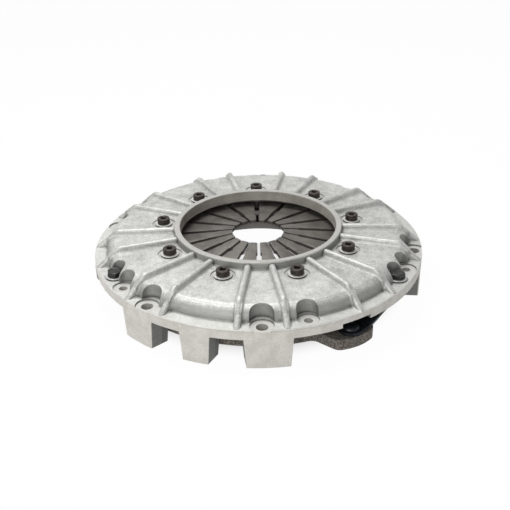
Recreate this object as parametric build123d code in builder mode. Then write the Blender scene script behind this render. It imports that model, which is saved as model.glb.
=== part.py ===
from build123d import *
from math import cos, hypot, radians, sin, sqrt, tan
import os

# Clutch pressure plate: cast cover, diaphragm spring and the sprung pressure plate below it.
#
# The origin is on the clutch axis in the plane of the cover's feet, where the cover stands on
# the flywheel. +Z points away from the flywheel, towards the release bearing. Millimetres.
# Angles are degrees around the axis from +X. The layout repeats three times, one sector each
# 120 degrees, and a sector is centred on the middle of its three feet.

os.makedirs("parts", exist_ok=True)

# ---------------------------------------------------------------- driving sizes
sector_count = 3
sector_angle = 250.0             # centre of the first sector

# cover casting: rim, feet, dome and collar
rim_radius = 168.0
turning_stock = 2.0              # on the rim before it is turned
foot_height = 29.4
flange_thickness = 10.0
rim_chamfer = 0.7
flange_ledge = 12.4              # from the rim in to the foot of the dome
dome_rise = 13.1                 # dome top above the flange
dome_fillet = 1.2
shoulder_radius = 12.0
side_wall = 9.6                  # dome wall at the flange
side_lean = 2.0                  # the hollow narrows by this over the next height
side_lean_height = 7.0
side_round = 2.0
roof_wall = 8.5
roof_corner = 11.0               # from the hollow's wall in to its flat roof
roof_round = 6.0
collar_width = 5.9
collar_rise = 7.5                # collar top above the dome
collar_fillet = 1.5
opening_wall = 11.4              # height of the wall round the opening
opening_inset = 20.4             # from the screw circle in to the opening
opening_round = 2.0
turned_edge = 0.8                # edges of the collar

# feet, as angles from the sector centre
foot_edges = [(-29.3, -15.9), (-5.7, 4.2), (14.4, 29.4)]
foot_depth = 20.0                # radial
foot_flare = 1.8                 # each side widens by this angle at its inner face
foot_draft = 4.0                 # draft of the sides, narrower at the bottom
foot_corner = 1.2

# ribs
bay_count = 9
bay_angle = 20.0                 # first narrow bay, from the sector centre
rib_spread = 7.6                 # half the angle between the two ribs of a narrow bay
rib_width = 6.0
rib_rise = 5.7                   # rib top above the dome
rib_shoulder_inset = 10.1        # where a rib bends down, from the dome foot
rib_bend = 9.0
rib_end_rise = 0.6
rib_setback = 0.9                # rib end inside the rim
rib_round = 2.6
rib_root = 5.0                   # how deep a rib stands in the casting
rib_fillet = 3.0                 # concave, along both sides of a rib's root
rib_fillet_root = 0.4            # how deep the fillet stands in the casting
rib_foot_spread = 4.2            # the foot on the flange, past the rib's side at the dome wall
rib_foot_tip = 0.3               # the same at the rim
rib_foot_height = 2.0
rib_foot_slope = 60.0            # from the vertical

# holes through the flange
mount_inset = 8.0                # from the rim in to the mounting holes
mount_spread = 20.0              # angle either side of the sector centre
mount_hole = 11.0
mount_face = 22.0                # spotface diameter
mount_face_depth = 1.7
dowel_inset = 11.0
dowel_spread = 35.0
dowel_hole = 8.0
dowel_face = 20.0
dowel_face_depth = 1.5
mount_pocket_shift = 4.3         # a pocket in the dome lies nearer the axis than its hole
dowel_pocket_shift = 2.15
pocket_play = 0.2                # pocket radius over the spotface radius
bolt_pocket = 20.0               # pocket round a strap bolt
bolt_pocket_shift = 1.0

# cap screws that hold the spring
screw_count = 9
screw_inset = 8.0                # from the fulcrum in to the screws
screw_size = 8.0
screw_play = 0.2                 # radial, in plain holes
thread_play = 0.05               # radial, in threads
cap_head = 13.0
cap_head_height = 5.9
cap_socket = 6.0
cap_socket_depth = 3.2
screw_face = 24.0
screw_face_depth = 0.9
cap_screw_length = 25.0
washer_size = 18.0
washer_thickness = 1.6
edge_break = 0.5                 # chamfer of turned fasteners and rings
washer_edge = 0.3

# diaphragm spring
spring_clearance = 1.0           # radial, inside the hollow's roof
spring_tilt = 8.8                # cone angle when free
spring_thickness = 4.2
tip_radius = 26.4
finger_count = 18
tip_slot = 2.7
slot_step_radius = 42.5
root_slot = 4.8
window_width = 12.4
window_play = 1.1                # radial gap between a window and its spacer

# fulcrum rings, support ring and spacer nuts
lever = 21.4                     # from the pressure plate's ridge in to the fulcrum
wire_size = 5.0
wire_play = 0.05
land_depth = 11.65               # the land below the dome top
land_play = 0.7                  # the cover's land lies this much above the wire's centre
land_inner_inset = 6.6           # from the screw circle
land_outer_reach = 4.9           # past the fulcrum
land_lean = 2.5
land_round = 1.0
support_inner_inset = 8.1
support_outer_reach = 5.4
support_thickness = 5.0
spacer_size = 10.0
spacer_play = 0.1
spacer_head = 15.0
spacer_head_height = 2.6

# pressure plate
plate_travel = 5.0               # full lift from the free position
plate_height = 21.95             # from the friction face to the ridge top
plate_inner_height = 9.4         # thickness inside the ridge
lug_thickness = 10.6
bore_inset = 9.1                 # from the screw circle in to the bore
ridge_inset = 4.0                # from the spring's edge in to the ridge
ridge_width = 6.0
ridge_round = 1.2
ridge_play = 0.3                 # below the spring
ridge_gaps = 12
ridge_gap_width = 16.0
step_height = 14.5
step_inner_reach = 11.0          # from the ridge in and out to the edges of the raised step
step_outer_reach = 8.0
step_lean = 2.0
step_round = 1.5
plate_outer_reach = 15.5         # from the ridge out to the plate's edge

# lugs, straps and their fasteners
lug_angle = 50.2                 # from the sector centre
lug_overhang = 3.5               # past the rim
lug_half_width = 20.5
lug_root_half_width = 29.5
lug_corner = 9.0
rivet_inset = 9.0                # from the rim
strap_bolt_inset = 12.4
strap_bolt_angle = 76.65
strap_width = 23.0
strap_stock = 1.0                # past the round ends, cut off with them
leaf_thickness = 0.9
leaf_count = 3
strap_rivet_flat = 9.0           # flat length from the rivet before the strap bends
strap_bolt_flat = 22.0           # and from the bolt
rivet_size = 8.0
rivet_play = 0.1
rivet_head = 15.8
rivet_head_height = 3.4
rivet_foot = 12.5
rivet_foot_height = 2.6
rivet_sink = 3.2                 # depth of the recess in the friction side
rivet_sink_play = 0.6
bolt_across_flats = 13.0
bolt_head_height = 3.7
bolt_length = 20.6
hex_face_share = 0.95            # flat round face inside the bevel, over the flats
hex_bevel = 60.0                 # angle of the bevel from the axis
strap_washer = 18.5
spring_washer = 14.2
spring_washer_thickness = 1.6
spring_washer_gap = 1.2
spring_washer_cut = 25.0         # slant of its gap
nut_height = 4.0
notch_half_angle = 5.3           # cutout under the rim over a rivet
notch_play = 4.6                 # over a rivet head at full lift

# ---------------------------------------------------------------- worked-out radii and heights
dome_foot_radius = rim_radius - flange_ledge
shoulder_top_radius = dome_foot_radius - shoulder_radius
hollow_radius = dome_foot_radius - side_wall
roof_radius = hollow_radius - roof_corner
rib_shoulder = dome_foot_radius - rib_shoulder_inset
mount_circle = rim_radius - mount_inset
dowel_circle = rim_radius - dowel_inset
rivet_circle = rim_radius - rivet_inset
strap_bolt_circle = rim_radius - strap_bolt_inset
lug_reach = rim_radius + lug_overhang

spring_radius = roof_radius - spring_clearance
ridge_radius = spring_radius - ridge_inset
ridge_inner_radius = ridge_radius - ridge_width / 2
ridge_outer_radius = ridge_radius + ridge_width / 2
step_radius = ridge_radius - step_inner_reach
step_outer_radius = ridge_radius + step_outer_reach
plate_radius = ridge_radius + plate_outer_reach
fulcrum_radius = ridge_radius - lever
screw_circle = fulcrum_radius - screw_inset
bore_radius = screw_circle - bore_inset
opening_radius = screw_circle - opening_inset
collar_radius = opening_radius + collar_width
land_inner_radius = screw_circle - land_inner_inset
land_outer_radius = fulcrum_radius + land_outer_reach
support_inner_radius = screw_circle - support_inner_inset
support_outer_radius = fulcrum_radius + support_outer_reach

flange_bottom = foot_height
flange_top = flange_bottom + flange_thickness
dome_top = flange_top + dome_rise
roof = dome_top - roof_wall
collar_top = dome_top + collar_rise
rib_top = dome_top + rib_rise
screw_seat = dome_top - screw_face_depth
land_height = dome_top - land_depth

tilt = radians(spring_tilt)
wire_reach = (wire_size / 2 + wire_play) / cos(tilt)
upper_wire_height = land_height - land_play
fulcrum_top = upper_wire_height - wire_reach


def spring_top(radius):
    """Height of the spring's upper face at a radius."""
    return fulcrum_top - (radius - fulcrum_radius) * tan(tilt)


def spring_bottom(radius):
    """Height of the spring's lower face at a radius."""
    return spring_top(radius) - spring_thickness / cos(tilt)


lower_wire_height = spring_bottom(fulcrum_radius) - wire_reach
support_top = lower_wire_height - land_play
support_bottom = support_top - support_thickness
spacer_bottom = support_bottom - spacer_head_height

ridge_top = spring_bottom(ridge_outer_radius) - ridge_play
friction_height = ridge_top - plate_height
plate_inner_top = friction_height + plate_inner_height
plate_outer_top = friction_height + lug_thickness
plate_step_top = friction_height + step_height

strap_stack = leaf_count * leaf_thickness
bolt_seat = flange_top
nut_top = flange_bottom - strap_stack
nut_bottom = nut_top - nut_height
rivet_seat = plate_outer_top + strap_stack
rivet_foot_top = friction_height + rivet_sink
notch_top = rivet_seat + rivet_head_height + plate_travel + notch_play

sector_step = 360 / sector_count
bay_start = sector_angle + bay_angle
screw_start = bay_start + 180 / bay_count


def around(circle, offset):
    """Places at one angle of every sector, for use in a with statement."""
    return PolarLocations(circle, sector_count, start_angle=sector_angle + offset)


def at_angle(radius, angle):
    """Point at a radius and an angle."""
    return (radius * cos(radians(angle)), radius * sin(radians(angle)))


# ---------------------------------------------------------------- cover
# the skin's section runs a little past the rim, which is turned to size once the feet are on
# radius, height and rounding of each of its corners
skin_corners = [
    (hollow_radius, flange_bottom, 0),
    (rim_radius + turning_stock, flange_bottom, 0),
    (rim_radius + turning_stock, flange_top, 0),
    (dome_foot_radius, flange_top, dome_fillet),
    (dome_foot_radius, dome_top, shoulder_radius),
    (collar_radius, dome_top, collar_fillet),
    (collar_radius, collar_top, turned_edge),
    (opening_radius, collar_top, turned_edge),
    (opening_radius, collar_top - opening_wall, turned_edge),
    (land_inner_radius, land_height, opening_round),
    (land_outer_radius, land_height, land_round),
    (land_outer_radius + land_lean, roof, land_round),
    (roof_radius, roof, roof_round),
    (hollow_radius - side_lean, flange_bottom + side_lean_height, side_round),
]
skin_line = [(radius, height) for radius, height, _ in skin_corners]
skin_rounds = [rounding for _, _, rounding in skin_corners]

rib_start = collar_radius - collar_width / 2
rib_end = rim_radius - rib_setback
with BuildPart() as rib:
    with BuildSketch(Plane.XZ):
        with BuildLine():
            FilletPolyline(
                (rib_start, dome_top - rib_root),
                (rib_start, rib_top),
                (rib_shoulder, rib_top),
                (rib_end, flange_top + rib_end_rise),
                (rib_end, flange_top - rib_root),
                (dome_foot_radius - rib_root, flange_top - rib_root),
                (shoulder_top_radius - rib_root / 2, dome_top - rib_root),
                radius=[0, 0, rib_bend, 0, 0, 0, 0],
                close=True,
            )
        make_face()
    extrude(amount=rib_width / 2, both=True)
    rib_crest = rib.edges().filter_by(lambda e: e.center().Z > flange_top + rib_end_rise)
    rib_crest = rib_crest.filter_by(lambda e: abs(abs(e.center().Y) - rib_width / 2) < 0.01)
    rib_crest = rib_crest.filter_by(lambda e: e.center().X > collar_radius)
    fillet(rib_crest, rib_round)
    # the foot spreads on the flange: wide at the dome wall, narrow at the rim
    foot_start = dome_foot_radius - rib_root
    foot_wide = rib_width / 2 + rib_foot_spread
    foot_narrow = rib_width / 2 + rib_foot_tip
    with BuildSketch(Plane.XY.offset(flange_top - rib_fillet_root)):
        with BuildLine():
            Polyline(
                (foot_start, -foot_wide),
                (rib_end, -foot_narrow),
                (rib_end, foot_narrow),
                (foot_start, foot_wide),
                close=True,
            )
        make_face()
    extrude(amount=rib_foot_height, taper=rib_foot_slope)
    # fillets of the root, over the dome and down its wall
    with BuildLine(Plane.XZ) as dome_run:
        FilletPolyline(
            (rib_start, dome_top),
            (dome_foot_radius, dome_top),
            (dome_foot_radius, flange_top - rib_root),
            radius=shoulder_radius,
        )
    half_root = rib_width / 2
    fillet_top = rib_fillet - rib_fillet_root
    fillet_low = -2 * rib_fillet_root
    run = dome_run.line
    with BuildSketch(Plane(origin=run @ 0, x_dir=(0, 1, 0), z_dir=(1, 0, 0))) as root:
        with BuildLine():
            for side in (-1, 1):
                edge = side * (half_root + rib_fillet)
                RadiusArc(
                    (side * half_root, fillet_top),
                    (edge, -rib_fillet_root),
                    -side * rib_fillet,
                )
                Line((edge, -rib_fillet_root), (edge, fillet_low))
            Line((-half_root, fillet_top), (half_root, fillet_top))
            Line((-half_root - rib_fillet, fillet_low), (half_root + rib_fillet, fillet_low))
        make_face()
    sweep(sections=root.sketch, path=run)

feet = []
foot_top = flange_bottom + flange_thickness / 4
inner_reach = rim_radius - foot_depth
for low, high in foot_edges:
    with BuildPart() as foot:
        with BuildSketch(Plane.XY.offset(foot_top)):
            rim_low = Vector(*at_angle(rim_radius, sector_angle + low))
            rim_high = Vector(*at_angle(rim_radius, sector_angle + high))
            inner_low = Vector(*at_angle(inner_reach, sector_angle + low - foot_flare))
            inner_high = Vector(*at_angle(inner_reach, sector_angle + high + foot_flare))
            with BuildLine():
                Polyline(
                    inner_low,
                    rim_low + (rim_low - inner_low) / 2,
                    rim_high + (rim_high - inner_high) / 2,
                    inner_high,
                    close=True,
                )
            make_face()
        extrude(amount=-foot_top, taper=foot_draft)
        inner_face = foot.faces().sort_by(SortBy.DISTANCE)[0]
        fillet(inner_face.edges().filter_by(Plane.XY, reverse=True), foot_corner)
    feet.append(foot.part)

with BuildPart() as cover:
    with BuildSketch(Plane.XZ):
        with BuildLine():
            FilletPolyline(*skin_line, radius=skin_rounds, close=True)
        make_face()
    revolve(axis=Axis.Z)
    for side in (-rib_spread, rib_spread):
        with PolarLocations(0, bay_count, start_angle=bay_start + side):
            add(rib.part)
    with PolarLocations(0, sector_count, start_angle=0):
        for foot_solid in feet:
            add(foot_solid)
    # the rim is turned round, with a chamfer at its upper edge
    with BuildSketch(Plane.XZ):
        with BuildLine():
            Polyline(
                (0, -1),
                (rim_radius, -1),
                (rim_radius, flange_top - rim_chamfer),
                (rim_radius - rim_chamfer, flange_top),
                (rim_radius - rim_chamfer, collar_top + 1),
                (0, collar_top + 1),
                close=True,
            )
        make_face()
    revolve(axis=Axis.Z, mode=Mode.INTERSECT)
    # spotfaces and holes of the cap screws
    with BuildSketch(Plane.XY.offset(screw_seat)):
        with PolarLocations(screw_circle, screw_count, start_angle=screw_start):
            Circle(screw_face / 2)
    extrude(amount=collar_top, mode=Mode.SUBTRACT)
    with BuildSketch(Plane.XY):
        with PolarLocations(screw_circle, screw_count, start_angle=screw_start):
            Circle(screw_size / 2 + screw_play)
    extrude(amount=collar_top, mode=Mode.SUBTRACT)
    # pockets in the dome wall, spotfaces and holes in the flange
    for side in (-1, 1):
        with BuildSketch(Plane.XY.offset(flange_top)):
            with around(mount_circle - mount_pocket_shift, side * mount_spread):
                Circle(mount_face / 2 + pocket_play)
            with around(dowel_circle - dowel_pocket_shift, side * dowel_spread):
                Circle(dowel_face / 2 + pocket_play)
        extrude(amount=collar_top, mode=Mode.SUBTRACT)
        with BuildSketch(Plane.XY.offset(flange_top - mount_face_depth)):
            with around(mount_circle, side * mount_spread):
                Circle(mount_face / 2)
        extrude(amount=mount_face_depth, mode=Mode.SUBTRACT)
        with BuildSketch(Plane.XY.offset(flange_top - dowel_face_depth)):
            with around(dowel_circle, side * dowel_spread):
                Circle(dowel_face / 2)
        extrude(amount=dowel_face_depth, mode=Mode.SUBTRACT)
        with BuildSketch(Plane.XY):
            with around(mount_circle, side * mount_spread):
                Circle(mount_hole / 2)
            with around(dowel_circle, side * dowel_spread):
                Circle(dowel_hole / 2)
        extrude(amount=collar_top, mode=Mode.SUBTRACT)
    # seat, pocket and hole of each strap bolt
    with BuildSketch(Plane.XY.offset(flange_top)):
        with around(strap_bolt_circle - bolt_pocket_shift, strap_bolt_angle):
            Circle(bolt_pocket / 2)
    extrude(amount=collar_top, mode=Mode.SUBTRACT)
    with BuildSketch(Plane.XY):
        with around(strap_bolt_circle, strap_bolt_angle):
            Circle(screw_size / 2 + screw_play)
    extrude(amount=flange_top, mode=Mode.SUBTRACT)
    # room under the rim for the rivet heads
    with BuildSketch(Plane.XY.offset(flange_bottom)):
        with around(0, lug_angle):
            notch_run = 2 * rim_radius * sin(radians(notch_half_angle))
            with Locations((rim_radius, 0)):
                Rectangle(2 * (rim_radius - hollow_radius), notch_run)
    extrude(amount=notch_top - flange_bottom, mode=Mode.SUBTRACT)
    # groove of the upper fulcrum ring
    with BuildSketch(Plane.XZ):
        with Locations((fulcrum_radius, upper_wire_height)):
            Circle(wire_size / 2 + wire_play)
    revolve(axis=Axis.Z, mode=Mode.SUBTRACT)
cover.part.label = "cover"
export_step(cover.part, "parts/cover.step")

# ---------------------------------------------------------------- diaphragm spring
with BuildPart() as diaphragm_spring:
    with BuildSketch(Plane.XZ):
        with BuildLine():
            Polyline(
                (tip_radius, spring_top(tip_radius)),
                (spring_radius, spring_top(spring_radius)),
                (spring_radius, spring_bottom(spring_radius)),
                (tip_radius, spring_bottom(tip_radius)),
                close=True,
            )
        make_face()
    revolve(axis=Axis.Z)
    window_reach = spacer_size / 2 + window_play
    with BuildSketch(Plane.XY):
        with PolarLocations(0, finger_count, start_angle=screw_start):
            with Locations((slot_step_radius / 2, 0)):
                Rectangle(slot_step_radius + tip_slot, tip_slot)
            with Locations(((slot_step_radius + screw_circle) / 2, 0)):
                Rectangle(screw_circle - slot_step_radius, root_slot)
            with Locations((screw_circle, 0)):
                RectangleRounded(2 * window_reach, window_width, window_reach / 2)
    extrude(amount=collar_top, mode=Mode.SUBTRACT)
diaphragm_spring.part.label = "diaphragm_spring"
export_step(diaphragm_spring.part, "parts/diaphragm_spring.step")

# ---------------------------------------------------------------- fulcrum rings
for node, height in (
    ("upper_fulcrum_ring", upper_wire_height),
    ("lower_fulcrum_ring", lower_wire_height),
):
    with BuildPart() as wire_ring:
        with BuildSketch(Plane.XZ):
            with Locations((fulcrum_radius, height)):
                Circle(wire_size / 2)
        revolve(axis=Axis.Z)
    wire_ring.part.label = node
    export_step(wire_ring.part, f"parts/{node}.step")

# ---------------------------------------------------------------- support ring
with BuildPart() as support_ring:
    with BuildSketch(Plane.XY.offset(support_bottom)):
        Circle(support_outer_radius)
        Circle(support_inner_radius, mode=Mode.SUBTRACT)
        with PolarLocations(screw_circle, screw_count, start_angle=screw_start):
            Circle(spacer_size / 2 + spacer_play, mode=Mode.SUBTRACT)
    extrude(amount=support_thickness)
    chamfer(support_ring.edges().group_by(Axis.Z)[-1].sort_by(SortBy.LENGTH)[-2:], edge_break)
    with BuildSketch(Plane.XZ):
        with Locations((fulcrum_radius, lower_wire_height)):
            Circle(wire_size / 2 + wire_play)
    revolve(axis=Axis.Z, mode=Mode.SUBTRACT)
support_ring.part.label = "support_ring"
export_step(support_ring.part, "parts/support_ring.step")

# ---------------------------------------------------------------- cap screws, washers, spacer nuts
cap_seat = screw_seat + washer_thickness

with BuildPart() as cap_screw:
    with BuildSketch(Plane.XY.offset(cap_seat)):
        Circle(cap_head / 2)
    extrude(amount=cap_head_height)
    chamfer(cap_screw.edges().group_by(Axis.Z)[-1], edge_break)
    with BuildSketch(Plane.XY.offset(cap_seat - cap_screw_length)):
        Circle(screw_size / 2)
    extrude(amount=cap_screw_length)
    chamfer(cap_screw.edges().group_by(Axis.Z)[0], edge_break)
    with BuildSketch(Plane.XY.offset(cap_seat + cap_head_height)):
        RegularPolygon(cap_socket / 2, 6, major_radius=False)
    extrude(amount=-cap_socket_depth, mode=Mode.SUBTRACT)

with BuildPart() as screw_washer:
    with BuildSketch(Plane.XY.offset(screw_seat)):
        Circle(washer_size / 2)
        Circle(screw_size / 2 + screw_play, mode=Mode.SUBTRACT)
    extrude(amount=washer_thickness)
    chamfer(screw_washer.edges().group_by(Axis.Z)[-1].sort_by(SortBy.LENGTH)[-1], washer_edge)

with BuildPart() as spacer_nut:
    with BuildSketch(Plane.XY.offset(spacer_bottom)):
        Circle(spacer_head / 2)
    extrude(amount=spacer_head_height)
    chamfer(spacer_nut.edges().group_by(Axis.Z)[0], edge_break)
    with BuildSketch(Plane.XY.offset(support_bottom)):
        Circle(spacer_size / 2)
    extrude(amount=land_height - support_bottom)
    with BuildSketch(Plane.XY.offset(spacer_bottom)):
        Circle(screw_size / 2 + thread_play)
    extrude(amount=land_height - spacer_bottom, mode=Mode.SUBTRACT)

for node, piece in (
    ("cap_screws", cap_screw),
    ("screw_washers", screw_washer),
    ("spacer_nuts", spacer_nut),
):
    with BuildPart() as fastener_set:
        with PolarLocations(screw_circle, screw_count, start_angle=screw_start):
            add(piece.part)
    fastener_set.part.label = node
    export_step(fastener_set.part, f"parts/{node}.step")

# ---------------------------------------------------------------- pressure plate
with BuildSketch() as lug_plan:
    with BuildLine():
        corner_reach = lug_reach - lug_corner / 2
        root_reach = plate_radius - lug_corner / 2
        Line((root_reach, -lug_root_half_width), (corner_reach, -lug_half_width))
        ThreePointArc(
            (corner_reach, -lug_half_width), (lug_reach, 0), (corner_reach, lug_half_width)
        )
        Line((corner_reach, lug_half_width), (root_reach, lug_root_half_width))
        Line((root_reach, lug_root_half_width), (root_reach, -lug_root_half_width))
    make_face()
    fillet(lug_plan.vertices().filter_by(lambda v: v.X > plate_radius), lug_corner)

with BuildSketch() as plate_plan:
    Circle(plate_radius)
    with around(0, lug_angle):
        add(lug_plan.sketch)
    lug_roots = plate_plan.vertices().filter_by(lambda v: abs(hypot(v.X, v.Y) - plate_radius) < 0.1)
    fillet(lug_roots, lug_corner)

with BuildPart() as pressure_plate:
    with BuildSketch(Plane.XY.offset(friction_height)):
        add(plate_plan.sketch)
    extrude(amount=lug_thickness)
    with BuildSketch(Plane.XZ):
        with BuildLine():
            FilletPolyline(
                (bore_radius, friction_height),
                (step_outer_radius, friction_height),
                (step_outer_radius, plate_outer_top),
                (step_outer_radius - step_lean, plate_step_top),
                (ridge_outer_radius, plate_step_top),
                (ridge_outer_radius, ridge_top),
                (ridge_inner_radius, ridge_top),
                (ridge_inner_radius, plate_step_top),
                (step_radius + step_lean, plate_step_top),
                (step_radius, plate_outer_top),
                (bore_radius, plate_outer_top),
                radius=[
                    0,
                    0,
                    0,
                    step_round,
                    ridge_round,
                    ridge_round,
                    ridge_round,
                    ridge_round,
                    step_round,
                    0,
                    0,
                ],
                close=True,
            )
        make_face()
    revolve(axis=Axis.Z)
    with BuildSketch(Plane.XZ):
        with BuildLine():
            FilletPolyline(
                (0, friction_height),
                (bore_radius, friction_height),
                (bore_radius, plate_inner_top),
                (step_radius, plate_inner_top),
                (step_radius, ridge_top),
                (0, ridge_top),
                radius=[0, 0, step_round, step_round, 0, 0],
                close=True,
            )
        make_face()
    revolve(axis=Axis.Z, mode=Mode.SUBTRACT)
    with BuildSketch(Plane.XY.offset(plate_step_top)):
        with PolarLocations(ridge_radius, ridge_gaps, start_angle=sector_angle + lug_angle):
            Rectangle(2 * ridge_width, ridge_gap_width)
    extrude(amount=ridge_top - plate_step_top, mode=Mode.SUBTRACT)
    with BuildSketch(Plane.XY.offset(friction_height)):
        with around(rivet_circle, lug_angle):
            Circle(rivet_size / 2 + rivet_play)
    extrude(amount=lug_thickness, mode=Mode.SUBTRACT)
    with BuildSketch(Plane.XY.offset(friction_height)):
        with around(rivet_circle, lug_angle):
            Circle(rivet_foot / 2 + rivet_sink_play)
    extrude(amount=rivet_sink, mode=Mode.SUBTRACT)
pressure_plate.part.label = "pressure_plate"
export_step(pressure_plate.part, "parts/pressure_plate.step")

# ---------------------------------------------------------------- straps and their fasteners
washer_top = bolt_seat + washer_thickness
bolt_head_seat = washer_top + spring_washer_thickness

hex_face = hex_face_share * bolt_across_flats

with BuildPart() as rivet:
    with BuildSketch(Plane.XY.offset(rivet_seat)):
        Circle(rivet_head / 2)
    extrude(amount=rivet_head_height)
    fillet(rivet.edges().group_by(Axis.Z)[-1], rivet_head_height / 2)
    with BuildSketch(Plane.XY.offset(rivet_foot_top)):
        Circle(rivet_size / 2)
    extrude(amount=rivet_seat - rivet_foot_top)
    with BuildSketch(Plane.XY.offset(rivet_foot_top - rivet_foot_height)):
        Circle(rivet_foot / 2)
    extrude(amount=rivet_foot_height)
    fillet(rivet.edges().group_by(Axis.Z)[0], rivet_foot_height / 2)

with BuildPart() as strap_bolt:
    with BuildSketch(Plane.XY.offset(bolt_head_seat)):
        RegularPolygon(bolt_across_flats / 2, 6, major_radius=False)
    extrude(amount=bolt_head_height)
    with BuildSketch(Plane.XY.offset(bolt_head_seat)):
        Circle(hex_face / 2 + bolt_head_height * tan(radians(hex_bevel)))
    extrude(amount=bolt_head_height, taper=hex_bevel, mode=Mode.INTERSECT)
    with BuildSketch(Plane.XY.offset(bolt_head_seat - bolt_length)):
        Circle(screw_size / 2)
    extrude(amount=bolt_length)
    chamfer(strap_bolt.edges().group_by(Axis.Z)[0], edge_break)

with BuildPart() as strap_nut:
    with BuildSketch(Plane.XY.offset(nut_bottom)):
        RegularPolygon(bolt_across_flats / 2, 6, major_radius=False)
    extrude(amount=nut_height)
    with BuildSketch(Plane.XY.offset(nut_top)):
        Circle(hex_face / 2 + nut_height * tan(radians(hex_bevel)))
    extrude(amount=-nut_height, taper=hex_bevel, mode=Mode.INTERSECT)
    with BuildSketch(Plane.XY.offset(nut_bottom)):
        Circle(screw_size / 2 + thread_play)
    extrude(amount=nut_height, mode=Mode.SUBTRACT)

with BuildPart() as bolt_washer:
    with BuildSketch(Plane.XY.offset(bolt_seat)):
        Circle(strap_washer / 2)
        Circle(screw_size / 2 + screw_play, mode=Mode.SUBTRACT)
    extrude(amount=washer_thickness)
    chamfer(bolt_washer.edges().group_by(Axis.Z)[-1].sort_by(SortBy.LENGTH)[-1], washer_edge)

with BuildPart() as lock_washer:
    with BuildSketch(Plane.XY.offset(washer_top)):
        Circle(spring_washer / 2)
        Circle(screw_size / 2 + screw_play, mode=Mode.SUBTRACT)
        with Locations((0, spring_washer / 2)):
            Rectangle(
                spring_washer_gap,
                spring_washer,
                rotation=-spring_washer_cut,
                mode=Mode.SUBTRACT,
            )
    extrude(amount=spring_washer_thickness)

# a strap leaf lies on the lug at its rivet, rises in an S and lies flat again at its bolt;
# its own frame has the rivet at the origin and the bolt along +X
strap_turn = radians(strap_bolt_angle - lug_angle)
strap_length = sqrt(
    rivet_circle**2 + strap_bolt_circle**2 - 2 * rivet_circle * strap_bolt_circle * cos(strap_turn)
)
strap_end = strap_width / 2 + strap_stock


def leaf_line(low, high):
    """One face of a leaf, seen from the side."""
    Line((-strap_end, low), (strap_rivet_flat, low))
    Spline(
        (strap_rivet_flat, low),
        (strap_length - strap_bolt_flat, high),
        tangents=((1, 0), (1, 0)),
    )
    Line((strap_length - strap_bolt_flat, high), (strap_length + strap_end, high))


leaves = []
for level in range(leaf_count):
    leaf_low = plate_outer_top + level * leaf_thickness
    leaf_high = flange_bottom - (leaf_count - level) * leaf_thickness
    with BuildPart() as leaf:
        with BuildSketch(Plane.XZ):
            with BuildLine():
                leaf_line(leaf_low, leaf_high)
                leaf_line(leaf_low + leaf_thickness, leaf_high + leaf_thickness)
                Line((-strap_end, leaf_low), (-strap_end, leaf_low + leaf_thickness))
                bolt_end = strap_length + strap_end
                Line((bolt_end, leaf_high), (bolt_end, leaf_high + leaf_thickness))
            make_face()
        extrude(amount=strap_width / 2, both=True)
        with BuildSketch(Plane.XY):
            with Locations((strap_length / 2, 0)):
                SlotCenterToCenter(strap_length, strap_width)
            Circle(rivet_size / 2 + rivet_play, mode=Mode.SUBTRACT)
            with Locations((strap_length, 0)):
                Circle(screw_size / 2 + screw_play, mode=Mode.SUBTRACT)
        extrude(amount=flange_top, mode=Mode.INTERSECT)
    leaves.append(leaf)

for sector in range(sector_count):
    turn = sector_angle + sector * sector_step
    for name, piece, circle, angle in (
        ("strap_rivet", rivet, rivet_circle, lug_angle),
        ("strap_bolt", strap_bolt, strap_bolt_circle, strap_bolt_angle),
        ("bolt_washer", bolt_washer, strap_bolt_circle, strap_bolt_angle),
        ("spring_washer", lock_washer, strap_bolt_circle, strap_bolt_angle),
        ("strap_nut", strap_nut, strap_bolt_circle, strap_bolt_angle),
    ):
        with BuildPart() as placed:
            with PolarLocations(circle, 1, start_angle=turn + angle):
                add(piece.part)
        placed.part.label = f"{name}_{sector + 1}"
        export_step(placed.part, f"parts/{name}_{sector + 1}.step")

    rivet_place = Vector(*at_angle(rivet_circle, turn + lug_angle), 0)
    bolt_place = Vector(*at_angle(strap_bolt_circle, turn + strap_bolt_angle), 0)
    strap_plane = Plane(origin=rivet_place, x_dir=bolt_place - rivet_place, z_dir=(0, 0, 1))
    for level in range(leaf_count):
        with BuildPart() as placed_leaf:
            with Locations(strap_plane):
                add(leaves[level].part)
        placed_leaf.part.label = f"strap_{sector + 1}_leaf_{level + 1}"
        export_step(placed_leaf.part, f"parts/strap_{sector + 1}_leaf_{level + 1}.step")
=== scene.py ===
# %% [markdown]
# # A clutch pressure plate, dressed for the camera
#
# The solids come from the imported CAD model. Here each visible piece gets its surface and its
# finish. The box of the dressed object is printed at the end.

# %% Load the frame
from math import cos, pi, radians, sin, tan

import bpy
import numpy as np
from mathutils import Matrix, Vector


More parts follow.
